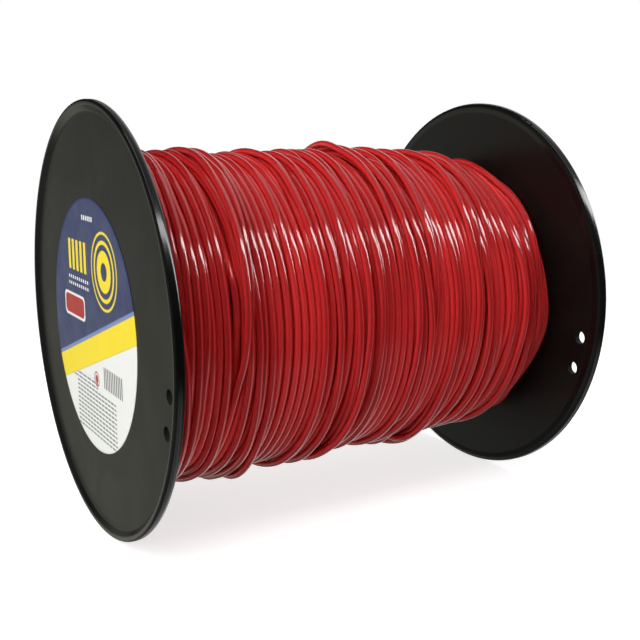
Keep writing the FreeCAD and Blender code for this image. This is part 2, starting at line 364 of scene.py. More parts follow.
@dataclass(frozen=True)
class NylonFinish:
    """Extruded red nylon: glossy, with faint draw lines along it and small changes of tone.

    Its flanks and what lies deep between the strands get a lighter red, painted light that stands for light
    passed through the nylon, and a painted highlight, a paler line, runs along its crest.
    """

    name: str
    base: Colour
    deep: Colour
    # Painted light: the lighter red given to the flanks and to places deep under the outline
    painted_side_light: Colour
    # Painted highlight: the paler colour of the line along each strand's crest
    painted_crest_highlight: Colour
    roughness: float
    glow: float
    glow_depth: float
    line_radius: float
    effects: SharedEffects
    side_facing: Pair = (0.15, 0.95)
    painted_light_depth: Pair = (2.0 * MM, 4.0 * MM)
    crest_lean: float = 0.10
    crest_width: Pair = (0.42, 0.06)
    crest_facing: Pair = (0.8, 0.95)
    draw_stretch: float = 7.0
    draw_range: Pair = (0.2, 0.8)
    draw_least: float = 0.6
    draw_depth: float = 0.004 * MM
    tone_stretch: float = 1.4
    scuff_amount: float = 0.4
    scuff_roughening: float = 0.15
    dust: Colour = colour(205, 120, 115)
    dust_amount: float = 0.25
    dust_share: float = 0.4
    glow_colour: Triple = (1.0, 0.3, 0.25)
    refraction: float = 1.53

    def build(self) -> Material:
        """Makes the material. It reads the attributes that the strands carry.

        Returns:
            The material.
        """
        material, nodes, shader = new_material(self.name)
        coordinates = nodes.add("ShaderNodeTexCoord").outputs
        place, normal = coordinates["Object"], coordinates["Normal"]
        about = nodes.group(self.effects.from_axis, {"Vector": place, "Axis Height": AXIS_HEIGHT})
        # Painted light: the flanks, and places that lie deep under the outline, take the lighter painted
        # side light
        facing = nodes.vector_math("DOT_PRODUCT", normal, about["Outward"])
        side = nodes.remap(facing, *self.side_facing, to_low=1.0, to_high=0.0)
        below_crest = nodes.times(nodes.minus(1.0, facing), self.line_radius)
        depth = nodes.plus(nodes.attribute("sunk", "Fac"), below_crest)
        painted_light_mask = nodes.larger(side, nodes.remap(depth, *self.painted_light_depth))
        # Painted highlight: a paler line along each strand's crest, a little toward +X
        off_crest = nodes.math("ABSOLUTE", nodes.minus(nodes.split(normal)[0], self.crest_lean))
        crest = nodes.times(nodes.remap(off_crest, *self.crest_width),
                            nodes.remap(facing, *self.crest_facing))
        across, up, _ = nodes.split(nodes.attribute("section", "Vector"))
        along = nodes.attribute("along", "Fac")
        drawn = nodes.noise(nodes.join(across, up, nodes.times(along, self.draw_stretch)), scale=5.0,
                            detail=3.0, roughness=0.6)
        tone = nodes.noise(nodes.join(nodes.times(along, self.tone_stretch)), scale=1.0)
        shade = nodes.times(nodes.remap(tone, *NOISE_RANGE),
                            nodes.remap(drawn, *self.draw_range, to_low=self.draw_least))
        # The random tone, then the painted side light over the flanks and deep places
        body = nodes.mix(painted_light_mask, nodes.mix(shade, self.base, self.deep), self.painted_side_light)
        # The painted crest highlight over the body colour
        body = nodes.mix(crest, body, self.painted_crest_highlight)
        marks = nodes.group(self.effects.scuffs, {
            "Vector": place, "Scuff Amount": self.scuff_amount, "Dust Amount": self.dust_amount})
        dusty = nodes.mix(nodes.times(marks["Dust"], self.dust_share), body, self.dust)
        gloss = nodes.swing(nodes.noise(place, scale=60.0), self.roughness)
        worn = nodes.plus(gloss, nodes.times(marks["Scuffs"], self.scuff_roughening), clamp=True)
        nodes.feed(shader, {
            "Base Color": dusty, "Roughness": worn, "Normal": nodes.bump(drawn, self.draw_depth),
            "IOR": self.refraction, "Subsurface Weight": self.glow, "Subsurface Radius": self.glow_colour,
            "Subsurface Scale": self.glow_depth})
        return material


class Ink(Enum):
    """The colours of the label's print."""

    NAVY = colour(50, 60, 104)
    YELLOW = colour(250, 224, 22)
    WHITE = colour(240, 241, 236)
    SKY = colour(120, 140, 190)
    RED = colour(176, 42, 40)
    GREY = colour(116, 120, 126)
    SLATE = colour(70, 74, 84)


@dataclass(frozen=True)
class Marks:
    """Printed marks in rows and columns inside a box.

    The box has a centre and half its width and height. The pitch is the spacing of the columns and of the
    rows, and the share is how much of it a mark fills.
    """

    centre: Pair
    half: Pair
    pitch: Pair
    share: Pair


@dataclass(frozen=True)
class Print:
    """Draws masks in the label's own plane, where sizes are shares of its radius.

    The place is the point in that plane, with X to the right and Y up.
    """

    nodes: Nodes
    place: Socket
    soft: float = 0.006
    cell_corner: float = 0.01

    def past(self, value: Socket, edge: float, side: int = 1) -> Socket:
        """A mask that is 1 past an edge, or before it for a side of -1, with a soft change."""
        return self.nodes.remap(value, edge - self.soft * side, edge + self.soft * side)

    def between(self, value: Socket, low: float, high: float) -> Socket:
        """A mask that is 1 between two edges."""
        return self.nodes.times(self.past(value, high, -1), self.past(value, low))

    def way(self, x: float, y: float) -> Socket:
        """The way to the place from a point of the plane."""
        return self.nodes.vector_math("SUBTRACT", self.place, (x, y, 0.0))

    def rings(self, centre: Pair, edges: tuple[float, ...]) -> Socket:
        """Rings about a centre as one mask.

        Args:
            centre: Their middle.
            edges: The inner and the outer radius of each ring.

        Returns:
            The mask.
        """
        distance = self.nodes.vector_math("LENGTH", self.way(*centre))
        total = self.between(distance, *edges[:2])
        for inner, outer in zip(edges[2::2], edges[3::2]):
            total = self.nodes.larger(total, self.between(distance, inner, outer))
        return total

    def box(self, centre: Pair, half: Pair, corner: float = 0.05) -> Socket:
        """A rounded box as a mask.

        Args:
            centre: Its middle.
            half: Its half width and half height.
            corner: The radius of its corners.

        Returns:
            The mask.
        """
        away = self.nodes.vector_math("ABSOLUTE", self.way(*centre))
        inside = self.nodes.vector_math("SUBTRACT", away, (half[0] - corner, half[1] - corner, 0.0))
        outside = self.nodes.vector_math("MAXIMUM", inside, (0.0, 0.0, 0.0))
        return self.past(self.nodes.vector_math("LENGTH", outside), corner, -1)

    def grid(self, marks: Marks) -> Socket:
        """Marks in rows and columns as a mask.

        Args:
            marks: Their box, their spacing and their share of it.

        Returns:
            The mask.
        """
        corner = (marks.centre[0] - marks.half[0], marks.centre[1] - marks.half[1])
        cells = self.nodes.vector_math("DIVIDE", self.way(*corner), (*marks.pitch, 1.0))
        across, up, _ = self.nodes.split(self.nodes.vector_math("FRACTION", cells))
        filled = self.nodes.times(self.nodes.math("LESS_THAN", across, marks.share[0]),
                                  self.nodes.math("LESS_THAN", up, marks.share[1]))
        return self.nodes.times(filled, self.box(marks.centre, marks.half, self.cell_corner))


@dataclass(frozen=True)
class PrintedFilm:
    """The round label: a generic print in navy, yellow, white and a little red on satin film.

    The print's places and sizes are shares of the label's radius. Its bands run aslant.
    """

    name: str
    centre: Pair
    radius: float
    effects: SharedEffects
    slant: float = -0.34
    band: Pair = (-0.30, -0.08)
    edge_top: float = -0.05
    target_foot: float = -0.02
    target_centre: Pair = (0.34, 0.47)
    target: tuple[float, ...] = (0.07, 0.16, 0.205, 0.235, 0.28, 0.30)
    bars: Marks = Marks((-0.30, 0.52), (0.25, 0.125), (0.10, 0.32), (0.58, 0.78))
    dots: Marks = Marks((-0.30, 0.31), (0.27, 0.045), (0.054, 0.054), (0.5, 0.5))
    ticks: Marks = Marks((-0.02, 0.84), (0.14, 0.02), (0.047, 0.05), (0.6, 0.8))
    rules: Marks = Marks((0.02, -0.70), (0.48, 0.19), (0.077, 0.036), (0.8, 0.42))
    notes: Marks = Marks((-0.28, -0.46), (0.36, 0.036), (0.112, 0.036), (0.84, 0.42))
    blocks: Marks = Marks((0.46, -0.36), (0.22, 0.085), (0.040, 0.18), (0.5, 1.0))
    panel_centre: Pair = (-0.44, 0.10)
    panel_frame: Pair = (0.27, 0.10)
    panel: Pair = (0.25, 0.08)
    seal_centre: Pair = (0.06, -0.41)
    seal: tuple[float, ...] = (0.0, 0.035, 0.05, 0.062)
    dust_amount: float = 0.35
    dust_share: float = 0.5
    roughness: Pair = (0.34, 0.46)
    grain_share: float = 0.06
    relief: float = 0.06 * MM
    relief_strength: float = 0.6

    def build(self) -> Material:
        """Makes the material.

        Returns:
            The material.
        """
        material, nodes, shader = new_material(self.name)
        place = nodes.add("ShaderNodeTexCoord").outputs["Object"]
        marks = nodes.group(self.effects.scuffs, {"Vector": place, "Dust Amount": self.dust_amount})
        dust = nodes.times(marks["Dust"], self.dust_share)
        slow = nodes.noise(place, scale=90.0, detail=3.0)
        grain = nodes.noise(place, scale=1500.0)
        height = nodes.plus(slow, nodes.times(grain, self.grain_share))
        nodes.feed(shader, {
            "Base Color": nodes.mix(dust, self.draw(nodes, place), Ink.WHITE.value),
            "Roughness": nodes.remap(slow, *NOISE_RANGE, *self.roughness),
            "Normal": nodes.bump(height, self.relief, self.relief_strength)})
        return material

    def draw(self, nodes: Nodes, place: Socket) -> Socket:
        """Prints each colour over the ones before it.

        Args:
            nodes: The builder of the material's tree.
            place: The point on the object.

        Returns:
            The print's colour.
        """
        _, y, z = nodes.split(place)
        right = nodes.math("DIVIDE", nodes.minus(self.centre[0], y), self.radius)
        up = nodes.math("DIVIDE", nodes.minus(z, self.centre[1]), self.radius)
        slanted = nodes.plus(up, nodes.times(right, self.slant))
        drawn = Print(nodes, nodes.join(right, up))
        foot, top = self.band
        lower = drawn.past(slanted, foot, -1)
        target = nodes.times(drawn.rings(self.target_centre, self.target),
                             drawn.past(slanted, self.target_foot))
        small_print = nodes.larger(drawn.grid(self.rules), drawn.grid(self.notes))
        shown = Ink.NAVY.value
        for mask, ink in (
                (lower, Ink.WHITE),
                (drawn.between(slanted, foot, top), Ink.YELLOW),
                (drawn.between(slanted, top, self.edge_top), Ink.SKY),
                (target, Ink.YELLOW),
                (drawn.grid(self.bars), Ink.YELLOW),
                (nodes.larger(drawn.grid(self.dots), drawn.grid(self.ticks)), Ink.WHITE),
                (drawn.box(self.panel_centre, self.panel_frame), Ink.WHITE),
                (drawn.box(self.panel_centre, self.panel), Ink.RED),
                (nodes.times(small_print, lower), Ink.GREY),
                (nodes.times(drawn.rings(self.seal_centre, self.seal), lower), Ink.RED),
                (nodes.times(drawn.grid(self.blocks), lower), Ink.SLATE)):
            shown = nodes.mix(mask, shown, ink.value)
        return shown


@dataclass
class Winder:
    """Winds the line on the drum, turn by turn, and says where its centre line runs.

    The drum's surface is a height for each angle and place along the axis. Each stretch of line starts where
    the guide lets it down, slides off what it lies on, is pulled straight, and is then part of the surface.
    It keeps off the turn before it, except in the stretches where it is let ride over it.
    Lengths are in millimetres.
    """

    # The line, and the outline that the winding fills, with a length and a drop for each shoulder
    line_radius: float
    half_length: float
    surface_first: float
    surface_last: float
    layers: int = 4
    layer_rise: float = 2.6
    shoulder_first: Pair = (35.0, 3.5)
    shoulder_last: Pair = (47.0, 8.5)
    shoulder_power: float = 3.3
    # The surface: the steps of a turn, its cells along the axis, and how many lie beside the flanges
    steps: int = 120
    cell: float = 0.25
    margin: int = 20
    left_out: int = 24
    near: int = 14
    # The guide, which goes slower where the winding is low and turns back early where it is heaped
    pitch: float = 2.9
    levelling: float = 0.7
    pace_range: Pair = (0.75, 1.5)
    dwell: float = 0.2
    end_share: float = 1.3
    end_most: float = 2.5
    # How the line wanders from the guide
    drift_size: float = 0.5
    drift_turns: float = 4.5
    slant_size: float = 0.95
    slant_turns: float = 0.6
    loose_share: float = 1.25
    tight_share: float = 0.95
    calm_end: float = 8.0
    calm_least: float = 0.1
    memory_turns: float = 0.3
    seed: int = 7
    # Where it rides over the turn before it, and how it keeps off it elsewhere
    ride_share: float = 0.45
    ride_turns: float = 0.8
    heap: float = 0.35
    end_free: float = 4.0
    apart: float = 0.96
    keep_off: float = 0.6
    # How it slides, bends and is pulled tight
    friction: float = 0.06
    steepest: float = 1.2
    slide_gain: float = 0.25
    probe: float = 0.3
    rounds: int = 16
    straightening: float = 5.0
    held: int = 20
    easing: int = 36
    strides: tuple[int, ...] = (6, 4, 2, 1)
    tight_rounds: int = 3
    smooth_rounds: int = 2

    def __post_init__(self) -> None:
        """Sets up the smooth drum under the first layer."""
        self.reach = self.half_length - self.line_radius
        columns = int(2 * self.half_length / self.cell) + 2 * self.margin + 1
        self.axis = (np.arange(columns) - self.margin) * self.cell - self.half_length
        self.surface = self.surface_at(self.axis)
        self.heights = np.tile(self.surface - self.layers * self.layer_rise, (self.steps, 1))
        cells = int(self.line_radius / self.cell) + 1
        self.offsets = np.arange(-cells, cells + 1)
        spread = int(3 * self.straightening) + 1
        weights = np.exp(-0.5 * (np.arange(-spread, spread + 1) / self.straightening) ** 2)
        self.kernel = weights / weights.sum()

    def share_along(self, x: Array) -> Array:
        """How far along the drum a place is, from 0 at its first end to 1 at its last."""
        return np.clip((x + self.half_length) / (2 * self.half_length), 0, 1)

    def surface_at(self, x: Array) -> Array:
        """The outline that the winding fills, with a shoulder that falls to each end.

        Args:
            x: Places along the axis.

        Returns:
            Its radius at each of them.
        """
        surface = self.surface_first + self.share_along(x) * (self.surface_last - self.surface_first)
        for (length, drop), away in ((self.shoulder_first, self.half_length + x),
                                     (self.shoulder_last, self.half_length - x)):
            surface = surface - drop * np.clip(1 - away / length, 0, 1) ** self.shoulder_power
        return surface

    def above(self) -> Array:
        """How far the surface is above the outline, without the cells beside the flanges."""
        return (self.heights - self.surface)[:, self.left_out:-self.left_out]

    def noise(self, rng: np.random.Generator, turns: int, spacing: float) -> Array:
        """Smooth random values along the line.

        Args:
            rng: The source of random numbers.
            turns: How many turns they are for.
            spacing: Over how many turns they change.

        Returns:
            A value for each step.
        """
        knots = rng.normal(size=int(turns / spacing) + 4)
        place = np.arange(turns * self.steps) / self.steps / spacing
        whole = place.astype(int)
        part = place - whole
        weight = part * part * (3 - 2 * part)
        return knots[whole] * (1 - weight) + knots[whole + 1] * weight

    def under(self, x: Array) -> tuple[Array, Array, Array]:
        """Finds the cells that a strand lies over.

        Args:
            x: The strand's places along the axis.

        Returns:
            For each place the columns near it, whether the strand is over each, and its height there.
        """
        place = (x - self.axis[0]) / self.cell
        columns = np.floor(place).astype(int)[:, None] + self.offsets[None, :]
        away = (columns - place[:, None]) * self.cell
        cap = np.sqrt(np.clip(self.line_radius ** 2 - away * away, 0, None))
        return np.clip(columns, 0, len(self.axis) - 1), np.abs(away) < self.line_radius, cap

    def rest(self, rows: Array, x: Array) -> Array:
        """The radius at which a strand's centre comes to rest on the surface."""
        columns, over, cap = self.under(x)
        return np.where(over, self.heights[rows[:, None], columns] + cap, 0.0).max(axis=1)

    def straighten(self, x: Array) -> Array:
        """Evens out a strand's run along the axis, with its slope kept at both ends.

        Args:
            x: The strand's places along the axis.

        Returns:
            The places evened out.
        """
        spread = len(self.kernel) // 2
        left = 2 * x[0] - x[spread:0:-1]
        right = 2 * x[-1] - x[-2:-spread - 2:-1]
        return np.convolve(np.concatenate([left, x, right]), self.kernel, mode="valid")

    def settle(self, rows: Array, x: Array, wall: Array, side: Array) -> Array:
        """Lets a strand slide off what it lies on, as far as friction and its stiffness allow.

        Args:
            rows: The angle step of each point.
            x: Where each point is let down.
            wall: How near each point may come to the turn before it.
            side: On which side of that turn it lies, as 1 or -1.

        Returns:
            Where each point comes to lie along the axis.
        """
        ramp = np.clip((np.arange(len(x)) - self.held) / self.easing, 0, 1)
        ramp = ramp * ramp * (3 - 2 * ramp)
        for _ in range(self.rounds):
            slope = (self.rest(rows, x + self.probe) - self.rest(rows, x - self.probe)) / (2 * self.probe)
            steep = np.clip(np.abs(slope) - self.friction, 0, self.steepest)
            push = -np.sign(slope) * steep * self.slide_gain
            short = np.clip(side * (wall - x), 0, self.line_radius)
            x = x + (push + self.keep_off * side * short) * ramp
            x = x + (self.straighten(x) - x) * ramp
            x = np.clip(x, -self.reach, self.reach)
        return x

    def pull_tight(self, rows: Array, x: Array, before: Array) -> Array:
        """The radius of a taut strand over its supports. It runs straight from one to the next.

        Args:
            rows: The angle step of each point.
            x: Where each point lies along the axis.
            before: The radius of the first points, which lie already.

        Returns:
            The radius of each point.
        """
        radius = self.rest(rows, x)
        radius[:self.held] = before
        step_angle = 2 * math.pi / self.steps
        for stride in self.strides * self.tight_rounds:
            a, b = radius[:-2 * stride], radius[2 * stride:]
            chord = 2 * a * b * math.cos(stride * step_angle) / (a + b)
            radius[stride:-stride] = np.maximum(radius[stride:-stride], chord)
            radius[:self.held] = before
        for _ in range(self.smooth_rounds):
            radius[1:-1] = (radius[:-2] + 2 * radius[1:-1] + radius[2:]) / 4
            radius[:self.held] = before
        return radius

    def lay(self, rows: Array, x: Array, radius: Array) -> None:
        """Makes a strand part of the surface.

        Args:
            rows: The angle step of each point.
            x: Where each point lies along the axis.
            radius: The radius of each point.
        """
        columns, over, cap = self.under(x)
        cells = (rows[:, None], columns)
        self.heights[cells] = np.maximum(self.heights[cells], np.where(over, radius[:, None] + cap, 0.0))

    def over_mean(self, position: float) -> float:
        """How far the surface near a place is above the mean.

        Args:
            position: The place along the axis.

        Returns:
            The mean of its height there, less the mean of all.
        """
        column = int((position - self.axis[0]) / self.cell)
        first = max(column - self.near, self.margin)
        last = min(column + self.near + 1, len(self.axis) - self.margin)
        above = self.heights - self.surface
        return float(above[:, first:last].mean() - self.above().mean())

    def lead(self) -> Iterator[list[tuple[float, int, int]]]:
        """Leads the line to and fro along the drum.

        Yields:
            For each step of the next half turn, the guide's place, its direction and the layer.
        """
        position, direction, wait, layer = -self.reach, 1, self.dwell, 0
        while True:
            haste = float(np.clip(1 + self.levelling * self.over_mean(position), *self.pace_range))
            pace = self.pitch * haste / self.steps
            heaped = float(np.clip(self.over_mean(direction * self.reach), 0, self.end_most))
            end = self.reach - self.end_share * heaped
            led = []
            for _ in range(self.steps // 2):
                if wait > 0:
                    wait -= 1 / self.steps
                else:
                    position += direction * pace
                if wait <= 0 and position * direction >= end:
                    direction = -direction
                    wait = self.dwell
                    layer += 1
                led.append((position, direction, layer))
            yield led

    def slack(self, here: Array) -> Array:
        """How freely the line wanders from the guide at a place, which is less near the flanges."""
        inward = np.clip((self.reach - np.abs(here)) / self.calm_end, self.calm_least, 1)
        return (self.loose_share + self.share_along(here) * (self.tight_share - self.loose_share)) * inward

    def wind(self) -> tuple[Array, Array, Array]:
        """Winds all the layers.

        Returns:
            For each step of the line, its place along the axis, its radius, and the layer that it is in.
        """
        rng = np.random.default_rng(self.seed)
        most = int((self.layers + 2) * 2 * self.reach / self.pitch)
        wander = (self.noise(rng, most, self.drift_turns) * self.drift_size
                  + self.noise(rng, most, self.slant_turns) * self.slant_size)
        ride = self.noise(rng, most, self.ride_turns)
        riding = ride > np.quantile(ride, 1 - self.ride_share)
        half, held, turn = self.steps // 2, self.held, self.steps
        xs, radii = np.zeros(most * turn), np.zeros(most * turn)
        leader, led = self.lead(), []
        start, ahead = 0, None
        while True:
            while len(led) < start + turn + half:
                led += next(leader)
            if led[start + half][2] >= self.layers:
                break
            steps = np.arange(start, start + turn + held)
            rows = steps % turn
            here, side, _ = np.array(led[start:start + turn + held]).T
            x = np.clip(here + self.slack(here) * wander[steps], -self.reach, self.reach)
            wall = -side * math.inf
            if start >= turn:
                was = np.array(led[start - turn:start + held])[:, 1]
                free = (was != side) | (np.abs(here) > self.reach - self.end_free)
                if self.over_mean(led[-1][0]) < self.heap:
                    free |= riding[steps]
                beside = xs[steps - turn] + side * self.apart * 2 * self.line_radius
                wall = np.where(free, wall, beside)
            if ahead is None:
                before = self.rest(rows[:held], x[:held])
            else:
                before = radii[steps[:held]]
                known = len(ahead)
                lag = np.arange(1, len(x) - known + 1) / turn
                x[known:] += (ahead[-1] - x[known - 1]) * np.exp(-lag / self.memory_turns)
                x[:known] = ahead
                x[:held] = xs[steps[:held]]
            x = self.settle(rows, x, wall, side)
            radius = self.pull_tight(rows, x, before)
            done = slice(held if ahead is not None else 0, held + half)
            xs[steps[done]] = x[done]
            radii[steps[done]] = radius[done]
            self.lay(rows[done], x[done], radius[done])
            ahead = x[half:]
            start += half
        count = start + held
        return xs[:count], radii[:count], np.array([layer for _, _, layer in led[:count]])


def placed(name: str, data: ID) -> Object:
    """Puts a mesh, a lamp or a camera into the scene at the origin.

    Args:
        name: The object's name.
        data: The mesh, the lamp or the camera.

    Returns:
        The new object.
    """
    made = bpy.data.objects.new(name, data)
    bpy.context.scene.collection.objects.link(made)
    return made


def store(mesh: Mesh, name: str, values: Array) -> None:
    """Stores a value for each of a mesh's points, for a finish to read."""
    mesh.attributes.new(name, "FLOAT", "POINT").data.foreach_set("value", values.astype(np.float32))


def turned(name: str, outline: list[Pair], around: int, finish: Material,
           centre: Pair = (0.0, AXIS_HEIGHT), closed: bool = True) -> Object:
    """Turns an outline of (x, radius) about a line along X into a closed mesh.

    Args:
        name: The piece's name.
        outline: The corners of the section, in metres.
        around: How many steps the turn has.
        finish: The material.
        centre: Where the line runs, as (y, z).
        closed: Whether the outline closes on itself. If it doesn't, a fan to the line closes each end.

    Returns:
        The new object.
    """
    count = len(outline)
    corners, faces, fans = [], [], []
    front, back = around * count, around * count + 1
    for i in range(around):
        angle = 2 * math.pi * i / around
        for x, radius in outline:
            corners.append((x, centre[0] + radius * math.cos(angle), centre[1] + radius * math.sin(angle)))
        this, following = i * count, (i + 1) % around * count
        for j in range(count if closed else count - 1):
            k = (j + 1) % count
            faces.append((this + j, this + k, following + k, following + j))
        fans += [(front, this, following), (back, following + count - 1, this + count - 1)]
    if not closed:
        corners += [(outline[0][0], *centre), (outline[-1][0], *centre)]
        faces += fans
    mesh = bpy.data.meshes.new(name)
    mesh.from_pydata(corners, [], faces)
    mesh.validate()
    mesh.materials.append(finish)
    mesh.update()
    return placed(name, mesh)


class StrandTree:
    """The Geometry Nodes tree that turns a centre line into a round strand."""

    def __init__(self) -> None:
        """Builds the tree: a circle along the line, with its place in the section stored on it."""
        tree = bpy.data.node_groups.new("wound_strand", "GeometryNodeTree")
        sockets = {}
        for name, kind in (("Geometry", "NodeSocketGeometry"), ("Line Diameter", "NodeSocketFloat"),
                           ("Sides", "NodeSocketInt"), ("Finish", "NodeSocketMaterial")):
            sockets[name] = tree.interface.new_socket(name=name, in_out="INPUT", socket_type=kind)
        tree.interface.new_socket(name="Geometry", in_out="OUTPUT", socket_type="NodeSocketGeometry")
        nodes = Nodes(tree)
        given = nodes.add("NodeGroupInput").outputs
        path = nodes.add("GeometryNodeMeshToCurve", {"Mesh": given["Geometry"]})
        radius = nodes.times(given["Line Diameter"], 0.5)
        circle = nodes.add("GeometryNodeCurvePrimitiveCircle", {
            "Resolution": given["Sides"], "Radius": radius})
        unit = nodes.vector_math("NORMALIZE", nodes.add("GeometryNodeInputPosition").outputs[0])
        section = nodes.add("GeometryNodeStoreNamedAttribute", {
            "Geometry": circle.outputs[0], "Name": "section", "Value": unit},
            data_type="FLOAT_VECTOR", domain="POINT")
        strand = nodes.add("GeometryNodeCurveToMesh", {
            "Curve": path.outputs[0], "Profile Curve": section.outputs[0], "Fill Caps": True})
        smooth = nodes.add("GeometryNodeSetShadeSmooth", {"Geometry": strand.outputs[0]})
        real = nodes.add("GeometryNodeRealizeInstances", {"Geometry": smooth.outputs[0]})
        finish = nodes.add("GeometryNodeSetMaterial", {
            "Geometry": real.outputs[0], "Material": given["Finish"]})
        nodes.add("NodeGroupOutput", {"Geometry": finish.outputs[0]})
        self.tree = tree
        self.identifiers = {name: socket.identifier for name, socket in sockets.items()}

    def sweep(self, name: str, points: Array, values: dict[str, Array], diameter: float,
              sides: int, finish: Material) -> Object:
        """Makes a strand.

        Args:
            name: The piece's name.
            points: The centre line, in metres.
            values: What the finish reads at each point, by attribute name.
            diameter: The strand's diameter, in metres.
            sides: How many sides its section has.
            finish: Its material.

        Returns:
            The strand as a plain mesh object.
        """
        path = bpy.data.meshes.new(name + "_path")
        path.from_pydata(points.tolist(), [(i, i + 1) for i in range(len(points) - 1)], [])
        for attribute, numbers in values.items():
            store(path, attribute, numbers)
        piece = placed(name, path)
        modifier = piece.modifiers.new("strand", "NODES")
        modifier.node_group = self.tree
        modifier[self.identifiers["Line Diameter"]] = diameter
        modifier[self.identifiers["Sides"]] = sides
        modifier[self.identifiers["Finish"]] = finish
        bpy.context.view_layer.update()
        evaluated = piece.evaluated_get(bpy.context.evaluated_depsgraph_get())
        mesh = bpy.data.meshes.new_from_object(evaluated)
        piece.modifiers.clear()
        piece.data = mesh
        mesh.name = name
        return piece


@dataclass
class WoundLine:
    """The line on the drum: the last layers strand by strand, and a plain core under them.

    Each layer's piece has a name and the number of sides of its strand, from the outermost layer inwards.
    The crests are lowered so that this share of the surface, in per cent, stays under the outline.
    """

    finish: Material
    strands: StrandTree
    diameter: float = 2.7 * MM
    drop: float = 3.5 * MM
    end_angle: float = 25.0
    crest_share: float = 88.0
    layers: tuple[tuple[str, int], ...] = (
        ("line_turns_outer", 12), ("line_turns_second", 12), ("line_turns_third", 8),
        ("line_turns_fourth", 6))
    core_clearance: float = 0.3 * MM
    core_around: int = 120
    core_stations: int = 25

    def build(self) -> None:
        """Winds the line and makes its pieces."""
        low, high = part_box("line_inner_layers")
        turns_low, turns_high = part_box("line_outer_turns")
        first = (turns_high.z - turns_low.z) / 2
        winder = Winder(line_radius=self.diameter / 2 / MM, half_length=(high.x - low.x) / 2 / MM,
                        surface_first=first / MM, surface_last=(first - self.drop) / MM)
        x, radius, layer = winder.wind()
        crest = float(np.percentile(winder.above(), self.crest_share))
        radius = radius - crest
        # How deep each point lies under the outline; the nylon finish paints deeper places lighter, as
        # painted light
        sunk = (winder.surface_at(x) - winder.line_radius - radius) * MM
        step = 2 * math.pi / winder.steps
        angle = (np.arange(len(x)) - len(x)) * step + math.radians(self.end_angle)
        points = np.stack([x, radius * np.cos(angle), radius * np.sin(angle)], axis=1) * MM
        points[:, 2] += AXIS_HEIGHT
        along = np.concatenate([[0.0], np.cumsum(np.linalg.norm(np.diff(points, axis=0), axis=1))])
        log.info("wound %.1f turns, %.1f m, crests lowered by %.2f mm", len(x) / winder.steps, along[-1],
                 crest)
        pieces = []
        for depth, (name, sides) in enumerate(self.layers):
            chosen = np.flatnonzero(layer == winder.layers - 1 - depth)
            span = slice(chosen[0], min(chosen[-1] + 2, len(points)))
            values = {"along": along[span], "sunk": sunk[span]}
            pieces.append(self.strands.sweep(name, points[span], values, self.diameter, sides, self.finish))
        pieces.append(self.core(winder, crest))
        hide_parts("line_outer_turns")
        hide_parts("line_inner_layers")
        for piece in pieces:
            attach(piece, "root")
            log.info("%s: %d triangles", piece.name, 2 * len(piece.data.polygons))

    def core(self, winder: Winder, crest: float) -> Object:
        """The plain sleeve of line under the strands that are modelled one by one.

        Args:
            winder: The winder that laid them.
            crest: How far they were lowered, in millimetres.

        Returns:
            The sleeve.
        """
        end = winder.half_length
        depth = winder.layers * winder.layer_rise + crest
        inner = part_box("barrel")[1].z - AXIS_HEIGHT + self.core_clearance
        places = np.linspace(-end, end, self.core_stations)
        tops = winder.surface_at(places) - depth
        outline = [(-end * MM, inner), *zip(places * MM, tops * MM), (end * MM, inner)]
        core = turned("line_core", outline, self.core_around, self.finish)
        # Its depth makes the nylon finish paint the whole sleeve with the lighter painted side light
        store(core.data, "sunk", np.full(len(core.data.vertices), depth * MM))
        return core


@dataclass
class Label:
    """The round sticker, pressed on the sticker side's face, with a slight dish over the arbor's mouth."""

    finish: Material
    rings: int = 40
    around: int = 160
    edge_round: float = 0.08 * MM
    mouth_radius: float = 11.0 * MM
    dish: float = 0.05 * MM

    def build(self) -> None:
        """Makes the label as a thin closed disc."""
        low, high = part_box("sticker")
        radius = (high.z - low.z) / 2
        centre = ((low.y + high.y) / 2, (low.z + high.z) / 2)
        radii = [radius * i / self.rings for i in range(1, self.rings)]
        outline = [(low.x, away) for away in radii]
        outline += [(low.x, radius - self.edge_round), (low.x + self.edge_round, radius), (high.x, radius)]
        outline += [(high.x, away) for away in reversed(radii)]
        piece = turned("label", outline, self.around, self.finish, centre, closed=False)
        piece.data.shade_smooth()
        for vertex in piece.data.vertices:
            if vertex.co.x < high.x - self.edge_round / 2:
                vertex.co.x += self.sag(vertex.co.y, vertex.co.z)
        piece.data.update()
        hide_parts("sticker")
        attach(piece, "root")
        log.info("label: radius %.1f mm", radius / MM)

    def sag(self, y: float, z: float) -> float:
        """How far the film dips where nothing backs it."""
        away = math.hypot(y, z - AXIS_HEIGHT)
        return self.dish * max(0.0, 1 - (away / self.mouth_radius) ** 2)


@dataclass(frozen=True)
class Lamp:
    """A soft rectangular lamp that faces the reel.

    It leans from the reel's middle plane to +X and is turned about the reel's axis, where 0 is -Y and 90 is
    up, in degrees. Its size is its length along the reel and its width round it. Its power is in watts.
    """

    name: str
    lean: float
    turn: float
    distance: float
    size: Pair
    power: float
    diffuse: bool = True
    glossy: bool = True

    def hang(self) -> None:
        """Puts the lamp in its place."""
        lean, turn = math.radians(self.lean), math.radians(self.turn)
        away = Vector((math.sin(lean), -math.cos(lean) * math.cos(turn), math.cos(lean) * math.sin(turn)))
        along = Vector((math.cos(lean), math.sin(lean) * math.cos(turn), -math.sin(lean) * math.sin(turn)))
        data = bpy.data.lights.new(self.name, "AREA")
        data.shape = "RECTANGLE"
        data.size, data.size_y = self.size
        data.energy = self.power
        lamp = placed(self.name, data)
        lamp.location = Vector((0, 0, AXIS_HEIGHT)) + away * self.distance
        lamp.rotation_mode = "QUATERNION"
        lamp.rotation_quaternion = Matrix((along, away.cross(along), away)).transposed().to_quaternion()
        lamp.visible_diffuse, lamp.visible_glossy = self.diffuse, self.glossy


